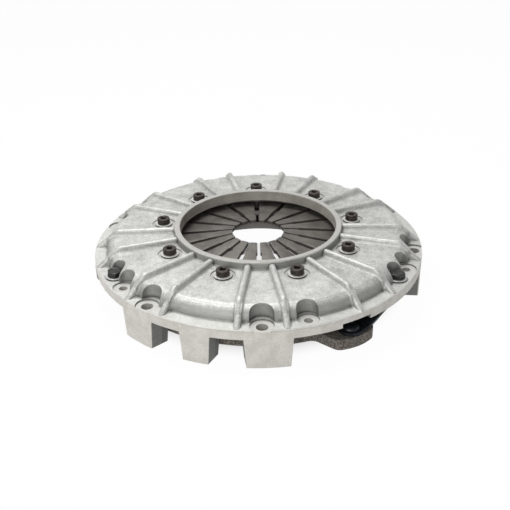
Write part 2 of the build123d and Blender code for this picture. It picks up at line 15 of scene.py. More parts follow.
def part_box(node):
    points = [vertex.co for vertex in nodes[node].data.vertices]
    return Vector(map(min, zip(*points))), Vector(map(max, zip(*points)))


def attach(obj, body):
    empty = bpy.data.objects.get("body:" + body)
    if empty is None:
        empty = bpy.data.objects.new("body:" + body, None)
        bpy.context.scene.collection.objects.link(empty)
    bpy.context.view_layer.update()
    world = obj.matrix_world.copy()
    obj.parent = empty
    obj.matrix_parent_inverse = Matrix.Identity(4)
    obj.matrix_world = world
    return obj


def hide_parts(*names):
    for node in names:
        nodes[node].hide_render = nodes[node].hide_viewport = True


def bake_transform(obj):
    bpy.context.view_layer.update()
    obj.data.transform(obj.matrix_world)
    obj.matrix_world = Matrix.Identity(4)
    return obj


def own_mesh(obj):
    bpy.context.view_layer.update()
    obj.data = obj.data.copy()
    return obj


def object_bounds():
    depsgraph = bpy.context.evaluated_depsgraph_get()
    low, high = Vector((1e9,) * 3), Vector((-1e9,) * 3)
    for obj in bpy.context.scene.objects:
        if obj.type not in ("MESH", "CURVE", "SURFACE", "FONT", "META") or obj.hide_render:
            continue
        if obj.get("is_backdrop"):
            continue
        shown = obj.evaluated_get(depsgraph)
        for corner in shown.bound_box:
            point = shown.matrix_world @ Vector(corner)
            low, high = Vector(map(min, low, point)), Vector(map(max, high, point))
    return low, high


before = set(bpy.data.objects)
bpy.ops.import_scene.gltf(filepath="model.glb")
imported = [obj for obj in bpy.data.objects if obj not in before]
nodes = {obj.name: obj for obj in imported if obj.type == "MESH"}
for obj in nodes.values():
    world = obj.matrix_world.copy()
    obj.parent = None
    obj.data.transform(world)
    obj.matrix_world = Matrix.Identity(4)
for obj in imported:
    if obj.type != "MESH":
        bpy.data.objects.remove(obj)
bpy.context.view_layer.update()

MM = 0.001
SECTORS = (250.0, 10.0, 130.0)

# %% [markdown]
# ## The camera
#
# A product on a white table is looked down at from a short way off, at about 27 degrees. The
# camera here is a pinhole on the part's own axes: it stands on a circle round the clutch
# axis, aims a little beside it, and leans by one degree. The aim and the two side vectors
# make up its matrix, so nothing has to be tracked or constrained.

# %% Camera
camera_stand = Vector((0, -699.6, 400.8)) * MM
camera_aim = Vector((-3.6, 0, 21.6)) * MM
camera_lean = radians(-1.033)
camera_turn = Matrix.Rotation(radians(-0.778), 4, "Z")
lens_mm, sensor_mm = 53.17, 36.0

forward = (camera_aim - camera_stand).normalized()
right = forward.cross(Vector((0, 0, 1))).normalized()
up = right.cross(forward)
side = cos(camera_lean) * right + sin(camera_lean) * up
top = -sin(camera_lean) * right + cos(camera_lean) * up
pose = Matrix((side, top, -forward)).transposed().to_4x4()
pose.translation = camera_stand

camera_data = bpy.data.cameras.new("camera")
camera_data.lens, camera_data.sensor_width = lens_mm, sensor_mm
camera_data.clip_start, camera_data.clip_end = 0.01, 50
camera = bpy.data.objects.new("camera", camera_data)
camera.matrix_world = camera_turn @ pose
bpy.context.scene.collection.objects.link(camera)
bpy.context.scene.camera = camera
bpy.context.scene.view_settings.view_transform = "Standard"
print("camera", round((camera_stand - camera_aim).length / MM), "mm away")

# %% [markdown]
# ## Shader maths as plain expressions
#
# Procedural finishes are sums and products of patterns. Wiring every Math node by hand hides
# the idea, so one small class wraps a node's output and overloads the operators: `1 - mask`
# adds its Math node by itself.

# %% Sockets that can be added and multiplied
class Wave:
    """A value that changes over a surface: one output of a shader node."""

    def __init__(self, owner, socket):
        self.owner, self.socket = owner, socket

    def __add__(self, other):
        return self.owner.math("ADD", self, other)

    def __radd__(self, other):
        return self.owner.math("ADD", other, self)

    def __sub__(self, other):
        return self.owner.math("SUBTRACT", self, other)

    def __rsub__(self, other):
        return self.owner.math("SUBTRACT", other, self)

    def __mul__(self, other):
        return self.owner.math("MULTIPLY", self, other)

    def __rmul__(self, other):
        return self.owner.math("MULTIPLY", other, self)

    def __gt__(self, other):
        return self.owner.math("GREATER_THAN", self, other)

    def __lt__(self, other):
        return self.owner.math("LESS_THAN", self, other)

    def __abs__(self):
        return self.owner.math("ABSOLUTE", self)

    def root(self):
        return self.owner.math("SQRT", self)

    def sine(self):
        return self.owner.math("SINE", self)

    def cosine(self):
        return self.owner.math("COSINE", self)

    def at_most(self, limit):
        return self.owner.math("MINIMUM", self, limit)

    def at_least(self, limit):
        return self.owner.math("MAXIMUM", self, limit)

    def between(self, low, high):
        """0 below low, 1 above high, and smooth between them."""
        settings = {"interpolation_type": "SMOOTHSTEP", "clamp": True}
        return self.owner.node("ShaderNodeMapRange", settings, self, low, high, 0.0, 1.0)

    def beside(self, output):
        """Another output of the node that this value comes from."""
        return Wave(self.owner, self.socket.node.outputs[output])


print("expressions of sockets add their own Math nodes")

# %% [markdown]
# ## One method for every node
#
# A node has a type, settings such as a Math node's operation, and sockets that hold a value
# or a link. One method takes all three, with the settings first, because some of them change
# which sockets there are. Materials and the world both use it.

# %% Nodes from one method
class Nodes:
    """The nodes of a material or of the world. All are added by one method."""

    def __init__(self, tree):
        self.tree = tree

    def feed(self, made, sockets):
        """Links or sets sockets, each named by its number or its label."""
        for key, value in sockets.items():
            socket = made.inputs[key]
            if isinstance(value, Wave):
                self.tree.links.new(value.socket, socket)
            elif isinstance(value, tuple) and len(socket.default_value) == 4:
                socket.default_value = (*value, 1.0)
            elif value is not None:
                socket.default_value = value

    def node(self, kind, settings, *values, output=0, sockets=None, **named):
        """Adds a node: its settings first, then its sockets in order, by number or by name."""
        made = self.tree.nodes.new(kind)
        for key, setting in settings.items():
            setattr(made, key, setting)
        self.feed(made, dict(enumerate(values)))
        self.feed(made, sockets or {})
        self.feed(made, {key.replace("_", " "): value for key, value in named.items()})
        return Wave(self, made.outputs[output])

    def math(self, operation, *values):
        return self.node("ShaderNodeMath", {"operation": operation}, *values)

    def mix(self, share, first, second):
        """Colour between first and second, by the share."""
        settings = {"data_type": "RGBA", "clamp_factor": True}
        sockets = {0: share, 6: first, 7: second}
        return self.node("ShaderNodeMix", settings, output=2, sockets=sockets)


print("a node is a type, settings and sockets")

# %% [markdown]
# ## A finish
#
# Every metal here is one principled shader with patterns in front of it: noise for the skin of a
# casting, cells for pits and specks, corners for painted shade, and a relief. All patterns read the
# object's own coordinates in metres, so a grain can be stated in millimetres and stays in place when
# the part moves. Only what changes over the surface is wired.

# %% Materials with patterns
class Finish(Nodes):
    """One material: its nodes, its coordinates on the object and its principled shader."""

    def __init__(self, name):
        self.material = bpy.data.materials.new(name)
        self.material.use_nodes = True
        super().__init__(self.material.node_tree)
        self.shader = self.tree.nodes["Principled BSDF"]
        self.place = self.node("ShaderNodeTexCoord", {}, output="Object")
        self.x = self.node("ShaderNodeSeparateXYZ", {}, self.place)
        self.y, self.z = self.x.beside(1), self.x.beside(2)
        self.reach = (self.x * self.x + self.y * self.y).root()

    def noise(self, grain_mm, detail=3.0, roughness=0.55, place=None):
        """Fractal noise with lumps of about grain_mm across."""
        return self.node(
            "ShaderNodeTexNoise",
            {"noise_dimensions": "3D"},
            Vector=place or self.place,
            Scale=1 / (grain_mm * MM),
            Detail=detail,
            Roughness=roughness,
        )

    def cells(self, grain_mm):
        """Distance to the nearest of scattered points that lie about grain_mm apart."""
        scale = 1 / (grain_mm * MM)
        return self.node("ShaderNodeTexVoronoi", {"feature": "F1"}, Vector=self.place, Scale=scale)

    def stretched(self, x, y, z):
        """The object's coordinates, scaled along each axis."""
        return self.node("ShaderNodeMapping", {}, Vector=self.place, Scale=(x, y, z))

    def corners(self, depth_mm):
        """1 where the surface lies in a corner of that depth, 0 where it lies open."""
        settings = {"samples": 8, "only_local": True}
        return 1 - self.node("ShaderNodeAmbientOcclusion", settings, Distance=depth_mm * MM, output=1)

    def bump(self, height, depth_mm):
        """Bends the normal as a relief of that depth would."""
        return self.node("ShaderNodeBump", {}, Height=height, Distance=depth_mm * MM, Strength=1.0)

    def finished(self, color, roughness, metallic, normal):
        """Wires the four things that may change over the surface."""
        wired = {"Base Color": color, "Roughness": roughness, "Metallic": metallic}
        self.feed(self.shader, {**wired, "Normal": normal})
        print("finish", self.material.name, "with", len(self.tree.nodes), "nodes")
        return self.material


print("finishes read the object's coordinates, 1 mm =", MM)

# %% [markdown]
# ## Cast and turned aluminium
#
# The cover is an aluminium casting. Its skin is mottled, satin and faintly pitted, because
# it was shaken clean and left as cast. Only some faces are turned or milled: the rim with
# the outer faces of the feet, the collar, the opening, the undersides and the small seats
# round every hole. Those are lighter, warmer and carry fine tool marks. Both finishes are
# one material, because the border between them is just a radius or a height, and the
# object's own coordinates give both.

# %% Where the cover is cut, in millimetres and degrees from a sector's middle
rim_cut, opening_cut, collar_cut = (167.35, 167.55), 80.9, 87.5
opening_low, collar_low = 48.0, 59.4
screw_seat_height, flange_height = 51.6, 39.4
hole_seat_heights = (37.7, 37.9)
foot_top = 29.3
mounting = {"turn": 20.0, "circle": 160.0, "hole": 5.5, "seat": 11.2, "pocket_at": 155.7}
dowel = {"turn": 35.0, "circle": 157.0, "hole": 4.0, "seat": 10.2, "pocket_at": 154.85}
bolt_turn, bolt_seat_at, bolt_pocket_at = 76.65 - 120, 155.6, 154.6
# width of the painted shade ring at the seats' edges
seat_groove = 0.7
print("seats at", hole_seat_heights, screw_seat_height, "flange at", flange_height)

# %% [markdown]
# ## Which tool touched which face, and where shade is painted
#
# A mask is 1 where a tool touched the casting, or where shade is painted on it. The sectors repeat
# three times, so the holes and pockets are found by folding the angle round the axis onto one sector,
# and onto its half where the sector is symmetrical. A disc then is a distance from its middle, worked
# out with the cosine and sine of the folded angle.

# %% Masks of the cover
def cover_masks(f):
    """Masks by name, each 1 on its faces and 0 elsewhere."""

    def level(height, play=0.12):
        """1 on the flat faces at a height."""
        return abs(f.z - height * MM) < play * MM

    rim = f.reach.between(*(radius * MM for radius in rim_cut))
    opening = (f.reach < opening_cut * MM) * (f.z > opening_low * MM)
    collar = (f.z > collar_low * MM) * (f.reach < collar_cut * MM)
    screw_seat = level(screw_seat_height)
    seats = level(hole_seat_heights[0]) + level(hole_seat_heights[1]) + (f.z < 0.1 * MM)
    flange = level(flange_height, 0.15) * (f.reach > 154.5 * MM)

    # the three sectors folded onto one, and that one onto its half where it is symmetrical
    angle = f.math("ARCTAN2", f.y, f.x) - radians(SECTORS[1])
    angle = f.math("WRAP", angle, pi / 3, -pi / 3)
    half = abs(angle)

    wider = 0.12

    def disc(turn, middle, radius, around=half):
        """1 within a circle whose middle lies at that angle and radius of the clutch."""
        off = around - radians(turn)
        ahead, aside = f.reach * off.cosine() - middle * MM, f.reach * off.sine()
        return (ahead * ahead + aside * aside).root() < (radius + wider) * MM

    def at_holes(place, radius_of):
        """The discs at the mounting holes and at the dowel holes together."""
        first, second = (
            disc(hole["turn"], hole[place], radius_of(hole)) for hole in (mounting, dowel)
        )
        return first + second

    def at_bolt(middle, radius):
        return disc(bolt_turn, middle, radius, angle)

    pockets = at_holes("pocket_at", lambda hole: hole["seat"]) + at_bolt(bolt_pocket_at, 10.0)
    pockets = pockets.at_most(1.0) * (f.z > 39.5 * MM)
    bores = at_holes("circle", lambda hole: hole["hole"]) * (f.z < 37.6 * MM)
    # painted shade: a thin dark ring where each seat's floor meets its step, and one round the bolt's
    # washer on the flange
    spotfaces = at_holes("circle", lambda hole: hole["seat"])
    inside = at_holes("circle", lambda hole: hole["seat"] - seat_groove)
    groove = (spotfaces - inside) * (f.z < 38.3 * MM) * (f.z > 37.5 * MM)
    bolt_ring = at_bolt(bolt_seat_at, 10.2) - at_bolt(bolt_seat_at, 9.6)
    groove = groove + bolt_ring * level(flange_height, 0.1)
    # painted shade on the unmachined sides of the feet, below the flange
    shaded_foot_sides = (f.z < foot_top * MM) * (f.z > 0.2 * MM) * (1 - rim) * (f.reach > 140 * MM)
    turned = (rim + opening + collar + seats + screw_seat + bores).at_most(1.0)

    # painted shade: the upright walls of the dome and of the collar's neck, and the pockets, are
    # darkened where shade falls on them
    wall = f.reach.between(148 * MM, 154 * MM) * (1 - f.reach.between(156 * MM, 157.2 * MM))
    wall = wall * (1 - f.z.between(47 * MM, 51.5 * MM))
    neck = (f.reach < 87.1 * MM) * (1 - f.z.between(58 * MM, 59.2 * MM))
    shade = (wall * 0.55 + neck * 0.6 + pockets * 0.5).at_most(0.85)
    return {
        "turned": turned, "opening": opening, "faces": (collar + screw_seat).at_most(1.0),
        "seats": seats, "bores": bores, "flange": flange, "groove": groove,
        "shaded_foot_sides": shaded_foot_sides, "shade": shade,
    }


print("masks hold the holes on", mounting["circle"], dowel["circle"], bolt_seat_at, "mm")

# %% [markdown]
# ## The two skins and their border
#
# The cast skin drifts between two greys in large lumps and a finer mottle, with a bright
# grain and a few pits. The tools leave a warmer, brighter metal with fine feed marks, darker
# in the opening, which faces away from the light.
#
# Two more darkenings are painted shade. An Ambient Occlusion node darkens the corners at the ribs'
# roots, where shade falls. The sides of the feet were never machined, and below the flange they get a
# painted shade as well.

# %% Finish of the cover
def cast_skin(f, masks, lumps, mottle, grain, smear, pit):
    """Colour of the skin as it left the mould, with painted shade on the walls, the pockets and the
    sides of the feet.
    """
    tone = lumps.between(0.3, 0.7) * 0.3 + mottle.between(0.32, 0.68) * 0.4
    tone = tone + smear.between(0.4, 0.6) * 0.3
    body = f.mix(tone, (0.33, 0.33, 0.314), (0.67, 0.67, 0.643))
    body = f.mix(grain.between(0.42, 0.66) * 0.5, body, (0.88, 0.88, 0.855))
    body = f.mix(masks["flange"] * 0.35, body, (0.76, 0.76, 0.727))
    # painted shade on the dome's walls, the collar's neck and the pockets
    body = f.mix(masks["shade"] * (0.65 + grain * 0.7), body, (0.20, 0.20, 0.185))
    # painted shade on the sides of the feet
    body = f.mix(masks["shaded_foot_sides"] * (0.42 + grain * 0.35), body, (0.10, 0.10, 0.094))
    return f.mix(pit * 0.6, body, (0.14, 0.14, 0.13))


def cut_metal(f, masks, feed):
    """Colour of the faces that a tool has touched, with painted shade in the opening."""
    spots = f.noise(1.4, detail=4.0, roughness=0.75)
    patches = f.noise(12, detail=3.0)
    polish = feed * 0.2 + spots.between(0.3, 0.7) * 0.45 + patches.between(0.35, 0.65) * 0.35
    cut = f.mix(polish, (0.66, 0.63, 0.575), (0.95, 0.93, 0.87))
    lines = f.noise(0.5, detail=2.0, place=f.stretched(0.02, 0.02, 1.0))
    shine = lines.between(0.3, 0.7) * 0.5 + patches.between(0.3, 0.7) * 0.5
    # painted shade: the opening's walls are darker because they face away from the light
    opening_shade = f.mix(shine, (0.20, 0.185, 0.155), (0.44, 0.42, 0.375))
    cut = f.mix(masks["opening"] * 0.75, cut, opening_shade)
    cut = f.mix(masks["faces"] * 0.7, cut, (0.38, 0.38, 0.36))
    cut = f.mix(masks["seats"] * 0.75, cut, (0.60, 0.60, 0.575))
    return f.mix(masks["bores"], cut, (0.60, 0.59, 0.55))


def cast_aluminium():
    f = Finish("cast_aluminium")
    masks = cover_masks(f)
    turned, shaded_foot_sides = masks["turned"], masks["shaded_foot_sides"]
    lumps = f.noise(30, detail=4.0)
    mottle = f.noise(5.0, detail=5.0, roughness=0.68)
    grain = f.noise(1.1, detail=3.0, roughness=0.75)
    smear = f.noise(8.0, detail=5.0, roughness=0.75, place=f.stretched(0.6, 0.6, 1.8))
    pit = (1 - f.cells(2.4).between(0.04, 0.14)) * f.noise(7.0, detail=1.0).between(0.56, 0.62)
    feed = f.noise(1.0, detail=2.0, place=f.stretched(0.12, 0.12, 2.2))

    body = cast_skin(f, masks, lumps, mottle, grain, smear, pit)
    color = f.mix(turned, body, cut_metal(f, masks, feed))
    # painted shade at the seats' edges and round the bolt's washer
    color = f.mix(masks["groove"] * 0.6, color, (0.10, 0.10, 0.09))
    # painted shade: the Ambient Occlusion node darkens corners such as the ribs' roots, less on
    # turned faces
    corners = f.corners(4.5).between(0.08, 0.70)
    color = f.mix(corners * (1 - turned * 0.5), color, (0.13, 0.13, 0.12))

    rough = 0.40 + mottle * 0.16 + smear * 0.16 - turned * 0.06 + pit * 0.2 + shaded_foot_sides * 0.1
    relief = mottle * 0.5 + grain * 0.5 - pit * 1.2
    relief = relief * (1 - turned * 0.8) + feed * turned * 0.12
    metal = 0.6 - turned * 0.35 - shaded_foot_sides * 0.2
    return f.finished(color, rough, metal, f.bump(relief, 0.2))


cover_finish = cast_aluminium()

# %% [markdown]
# ## Cast iron
#
# The pressure plate is grey iron: a brown-grey sand-cast skin with a coarse grain, and a
# turned friction ring below that shows fine rings and a brighter metal.

# %% Finish of the pressure plate
def cast_iron():
    f = Finish("cast_iron")
    grain = f.noise(1.3, detail=4.0, roughness=0.8)
    cloud = f.noise(22, detail=3.0)
    speck = f.cells(1.4)
    face = f.z < 7.4 * MM
    bore = f.reach < 91.8 * MM
    turned = (face + bore).at_most(1.0)
    skin = f.mix(grain.between(0.38, 0.64), (0.040, 0.034, 0.029), (0.36, 0.32, 0.28))
    skin = f.mix(cloud.between(0.4, 0.75) * 0.4, skin, (0.19, 0.175, 0.155))
    rings = (f.reach * (2 * pi / 0.0011)).sine() * 0.5 + 0.5
    cut = f.mix(rings * 0.5 + grain * 0.4, (0.25, 0.24, 0.225), (0.37, 0.355, 0.335))
    rough = 0.62 + grain * 0.2 - turned * 0.3
    relief = (grain + (1 - speck) * 0.3) * (1 - turned) + rings * turned * 0.08
    return f.finished(f.mix(turned, skin, cut), rough, 0.45, f.bump(relief, 0.3))


iron_finish = cast_iron()

# %% [markdown]
# ## Steels
#
# Seven small finishes share one recipe: a dark and a light tone, clouded and grained, with a
# roughness and a relief. The spring's fingers are heat-treated brown-grey steel and the
# straps and rivets are blued. The cap screws are black oxide with a brown cast, the bolts a
# plainer black, and the nuts zinc plated. The fulcrum wires and the support ring are bare.
# The washers come later, because their finish needs their heights.

# %% Finishes of the steel pieces
def steel(name, dark, light, cloud_mm, grain_mm, rough, metallic, depth_mm, spots=0.0):
    """Steel whose tone drifts between dark and light, with small darker spots."""
    f = Finish(name)
    cloud = f.noise(cloud_mm, detail=3.0)
    grain = f.noise(grain_mm, detail=3.0, roughness=0.6)
    tone = cloud.between(0.3, 0.7) * 0.6 + grain.between(0.3, 0.7) * 0.4
    color = f.mix(tone, dark, light)
    spot = f.cells(grain_mm * 3).between(0.08, 0.3)
    color = f.mix((1 - spot) * spots, color, tuple(0.4 * c for c in dark))
    roughness = rough + (grain - 0.5) * 0.25
    return f.finished(color, roughness, metallic, f.bump(grain, depth_mm))


finger_finish = steel(
    "spring_steel", (0.100, 0.092, 0.083), (0.215, 0.199, 0.180), 14, 1.2, 0.46, 0.55, 0.05, 0.3
)
strap_finish = steel(
    "blued_steel", (0.013, 0.017, 0.020), (0.040, 0.048, 0.052), 12, 1.0, 0.36, 0.75, 0.03
)
screw_finish = steel(
    "black_oxide", (0.030, 0.024, 0.020), (0.085, 0.068, 0.058), 3, 0.5, 0.42, 0.55, 0.04, 0.3
)
bolt_finish = steel(
    "bolt_black", (0.022, 0.022, 0.020), (0.070, 0.070, 0.064), 3, 0.5, 0.40, 0.55, 0.04, 0.3
)
nut_finish = steel(
    "zinc_nut", (0.26, 0.26, 0.25), (0.44, 0.44, 0.42), 4, 0.6, 0.36, 0.8, 0.02
)
wire_finish = steel(
    "wire_steel", (0.20, 0.195, 0.19), (0.34, 0.33, 0.32), 8, 0.8, 0.35, 0.85, 0.02
)
turned_finish = steel(
    "turned_steel", (0.20, 0.19, 0.18), (0.31, 0.30, 0.29), 9, 0.8, 0.38, 0.8, 0.02
)

# %% [markdown]
# ## Surfaces from rings of points
#
# Almost every new piece here is a skin over rings of points: a screw is a stack of rings
# round its axis, a leaf strap a row of small rings along its length. So one function takes
# an array of rings, joins each to the next with quads, and closes the two ends with a point
# in the middle or joins the last ring to the first. The maths of a piece is then only the
# array of its rings, worked out in one go with numpy.

# %% Rings and skins
def ring_at(radius, angle, height):
    """Points (r cos a, r sin a, z): one ring, or one ring per row of radius and height."""
    return np.stack([radius * np.cos(angle), radius * np.sin(angle), height + 0 * angle], -1)


def skin(rings, looped=False):
    """Quads over an array of rings (rows, points round, 3), each ring closed on itself.
    A looped skin joins its last ring to its first; otherwise both ends get a middle point."""
    rows, around_count = rings.shape[:2]
    points = rings.reshape(-1, 3)
    row = np.arange(rows if looped else rows - 1)[:, None]
    column = np.arange(around_count)[None, :]
    following = (row + 1) % rows * around_count
    beside = (column + 1) % around_count
    here = row * around_count
    quads = np.stack(
        [here + column, here + beside, following + beside, following + column], -1
    ).reshape(-1, 4)
    if looped:
        return points, quads, np.zeros((0, 3), int)
    middles = np.stack([rings[0].mean(0), rings[-1].mean(0)])
    first, last = len(points), len(points) + 1
    ring = np.arange(around_count)
    ahead = (ring + 1) % around_count
    start = np.stack([np.full_like(ring, first), ahead, ring], -1)
    end_row = (rows - 1) * around_count
    finish = np.stack([np.full_like(ring, last), end_row + ring, end_row + ahead], -1)
    return np.concatenate([points, middles]), quads, np.concatenate([start, finish])


def moved(shell, x=0.0, y=0.0, z=0.0, turn=0.0):
    """The shell turned about Z and then shifted, in millimetres and degrees."""
    points, quads, triangles = shell
    c, s = cos(radians(turn)), sin(radians(turn))
    spin = np.array([[c, s, 0], [-s, c, 0], [0, 0, 1]])
    return points @ spin + np.array([x, y, z]), quads, triangles


def polar(radius, angle):
    """Point at a radius and an angle in degrees."""
    return radius * cos(radians(angle)), radius * sin(radians(angle))


print("a skin joins rings with quads")

# %% [markdown]
# ## From a surface to a piece
#
# Each surface becomes one object at the origin, so that its patterns and its place agree.
# Smooth shading with sharp edges kept lets a rounded edge look round with few faces. The body says
# what the piece moves with.

# %% Pieces
def dress(piece, finish, body, smooth_angle=32):
    """Smooth shading with sharp edges kept, the material and the body."""
    piece.data.shade_smooth()
    piece.data.set_sharp_from_angle(angle=radians(smooth_angle))
    piece.data.materials.clear()
    piece.data.materials.append(finish)
    if body:
        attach(piece, body)
    print(piece.name, len(piece.data.polygons), "faces")
    return piece


def build(name, shells, finish, body, replaced=(), smooth_angle=32):
    """One object out of shells given in millimetres; it replaces the CAD nodes named."""
    points, faces, start = [], [], 0
    for shell_points, quads, triangles in shells:
        points.append(shell_points * MM)
        faces += (quads + start).tolist() + (triangles + start).tolist()
        start += len(shell_points)
    mesh = bpy.data.meshes.new(name)
    mesh.from_pydata(np.concatenate(points).tolist(), [], faces)
    mesh.update()
    piece = bpy.data.objects.new(name, mesh)
    bpy.context.scene.collection.objects.link(piece)
    dress(piece, finish, body, smooth_angle)
    if replaced:
        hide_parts(*replaced)
    return piece


# %% [markdown]
# ## The castings
#
# The cover and the pressure plate have their true shape in the CAD model already, with
# ribs, fillets, pockets and seats. Their meshes are loose flat triangles, so rounded parts
# would look faceted. A copy is welded instead: equal corners become one vertex, flat faces
# weigh more than fillets when normals are averaged, and real edges stay sharp.

# %% Welded copies of CAD nodes
def welded(name, node, finish, body, smooth_angle=38):
    """Copy of a CAD node whose triangles share their corners."""
    source = nodes[node].data
    corners = np.zeros(len(source.vertices) * 3, np.float32)
    source.vertices.foreach_get("co", corners)
    source.calc_loop_triangles()
    triangles = np.zeros(len(source.loop_triangles) * 3, np.int32)
    source.loop_triangles.foreach_get("vertices", triangles)
    keys = np.round(corners.reshape(-1, 3), 6)
    points, which = np.unique(keys, axis=0, return_inverse=True)
    faces = which.reshape(-1)[triangles].reshape(-1, 3)
    whole = (
        (faces[:, 0] != faces[:, 1]) & (faces[:, 1] != faces[:, 2]) & (faces[:, 0] != faces[:, 2])
    )
    mesh = bpy.data.meshes.new(name)
    mesh.from_pydata(points.tolist(), [], faces[whole].tolist())
    mesh.update()
    piece = bpy.data.objects.new(name, mesh)
    bpy.context.scene.collection.objects.link(piece)
    dress(piece, finish, body, smooth_angle)
    weights = piece.modifiers.new("flat_faces_first", "WEIGHTED_NORMAL")
    weights.keep_sharp = True
    weights.weight = 80
    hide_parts(node)
    return piece


welded("cover_casting", "cover", cover_finish, "cover")
welded("plate_casting", "pressure_plate", iron_finish, "pressure_plate")
welded("spring_support", "support_ring", turned_finish, "cover")
welded("screw_spacers", "spacer_nuts", screw_finish, "cover")

# %% [markdown]
# ## Turned shapes
#
# A washer, a ring of wire and a rivet are profiles turned round an axis. The profile is a
# list of radii and heights; turning multiplies it with a circle of cosines and sines.

# %% Turning a profile
def turned(profile, count=48, looped=False):
    """Profile rows of (radius, height) times a circle: x = r cos a, y = r sin a, z = h."""
    profile = np.asarray(profile, float)
    angle = np.linspace(0, 2 * pi, count, endpoint=False)
    return skin(ring_at(profile[:, :1], angle, profile[:, 1:]), looped)


def washer_profile(bore, outside, low, high, edge):
    """Section of a flat washer, its four corners rounded by quarter circles."""
    bend = np.linspace(0, pi / 2, 4)
    corners = []
    for r, z, start in (
        (outside - edge, low + edge, -pi / 2), (outside - edge, high - edge, 0),
        (bore + edge, high - edge, pi / 2), (bore + edge, low + edge, pi),
    ):
        corners.append(
            np.stack([r + edge * np.cos(start + bend), z + edge * np.sin(start + bend)], -1)
        )
    return np.concatenate(corners)


def wire_profile(radius, height, size, count=16):
    """Section of a ring bent from round wire."""
    angle = np.linspace(0, 2 * pi, count, endpoint=False)
    return np.stack([radius + size / 2 * np.cos(angle), height + size / 2 * np.sin(angle)], -1)


# %% [markdown]
# ## Sizes that the small pieces share
#
# They repeat the CAD model's own sizes in millimetres, so that a dressed screw sits where
# the solid one does.

# %% Shared places
def heights(node):
    """Lowest and highest point of a CAD node, in millimetres."""
    low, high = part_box(node)
    return low[2] / MM, high[2] / MM


screw_circle, screw_count = 100.6, 9
screw_angles = [290.0 + 360 / screw_count * k for k in range(screw_count)]
washer_low, washer_high = heights("screw_washers")
bolt_washer_low, bolt_washer_high = heights("bolt_washer_1")
lock_low, lock_high = heights("spring_washer_1")
rivet_low, rivet_high = heights("strap_rivet_1")
upper_wire_low = heights("upper_fulcrum_ring")[0]
lower_wire_low, lower_wire_high = heights("lower_fulcrum_ring")
rivet_place, rivet_circle = 50.2, 159.0
bolt_place, bolt_circle = bolt_turn + 120, bolt_seat_at
print("washer", washer_low, washer_high, "rivet", rivet_low, rivet_high)

# %% [markdown]
# ## Zinc-plated washers
#
# A plated washer is bright on its faces. Its side gets a painted shade, the shadow in the corner
# between washer and casting. All washers lie flat at two known heights, so the side is simply a range
# of heights.

# %% Finish of the washers
def zinc_washer():
    f = Finish("zinc_steel")
    cloud, grain = f.noise(4, detail=3.0), f.noise(0.6, detail=3.0, roughness=0.6)
    tone = cloud.between(0.3, 0.7) * 0.6 + grain.between(0.3, 0.7) * 0.4
    # painted shade on the washers' sides, in the corner against the casting
    side = (f.z > 50.5 * MM) * (f.z < (washer_high - 0.3) * MM)
    side = side + (f.z < (bolt_washer_high - 0.35) * MM)
    color = f.mix(tone, (0.52, 0.52, 0.50), (0.76, 0.76, 0.74))
    color = f.mix(side, color, (0.040, 0.038, 0.034))
    return f.finished(color, 0.34 + grain * 0.16, 0.3 - side * 0.2, f.bump(grain, 0.02))


washer_finish = zinc_washer()

# %% [markdown]
# ## Cap screws
#
# Nine socket-head screws hold the spring. The head has a knurled side, so that fingers can
# turn it, a rounded edge, and a hexagon socket with a small lead-in. The whole screw is one
# stack of rings from the socket's floor, up its wall, over the head and down the shank. A
# ring's radius is a circle's or a hexagon's: a hexagon with flats d apart has the radius
# (d / 2) / cos(a), where a is the angle from the middle of the nearest flat.

# %% Screws and washers
def hexagon(angle):
    """Radius of a hexagon with flats 2 apart, at each angle."""
    return 1 / np.cos((angle + pi / 6) % (pi / 3) - pi / 6)


def cap_screw(seat, head=13.0, height=5.9, socket=6.0, socket_depth=3.2, shank=8.0, length=25.0):
    """Rings of a socket-head screw: socket, top, rounded edge, knurled side and shank. The
    knurl is a radius that steps in at every second point."""
    ridges, knurl_depth, edge = 36, 0.16, 0.7
    angle = np.linspace(0, 2 * pi, 2 * ridges, endpoint=False)
    knurl = np.where(np.arange(2 * ridges) % 2 == 0, 0.0, -knurl_depth)
    crown = seat + height
    hexed = socket / 2 * hexagon(angle)
    rows = [
        (hexed * 0.5, crown - socket_depth - 0.5),
        (hexed * 0.97, crown - socket_depth),
        (hexed, crown - 0.35),
        (np.maximum(hexed, socket / 2 * 1.16), crown),
    ]
    for bend in np.linspace(pi / 2, 0, 5):
        rows.append((head / 2 - edge + edge * cos(bend), crown - edge + edge * sin(bend)))
    rows += [(head / 2 + knurl, seat + z) for z in np.linspace(height - 1.0, 0.7, 4)]
    rows += [(head / 2 - 0.05, seat + 0.45), (head / 2 - 0.4, seat), (shank / 2 + 0.02, seat)]
    rows += [(shank / 2, seat - length + 1), (shank / 2 - 0.7, seat - length)]
    return skin(np.array([ring_at(radius, angle, z) for radius, z in rows[::-1]]))


def at_screws(shell):
    """The shell at each screw's place, every screw stopped at another angle."""
    return [moved(shell, *polar(screw_circle, a), turn=a * 7.3) for a in screw_angles]


build("cap_screw_set", at_screws(cap_screw(washer_high)), screw_finish, "cover",
      ["cap_screws"], smooth_angle=40)
ring_section = washer_profile(4.2, 9.0, washer_low, washer_high, 0.25)
build("screw_washer_set", at_screws(turned(ring_section, looped=True)), washer_finish, "cover",
      ["screw_washers"])

# %% [markdown]
# ## The diaphragm spring
#
# One sheet of spring steel, pressed into a shallow cone and slit into eighteen fingers.
# Each finger is a row of rounded-off rectangles that get wider with the radius, because the slot
# between two fingers keeps its width. Near the root every slot opens into a window for a spacer.
# Outside the windows the sheet is a plain cone.

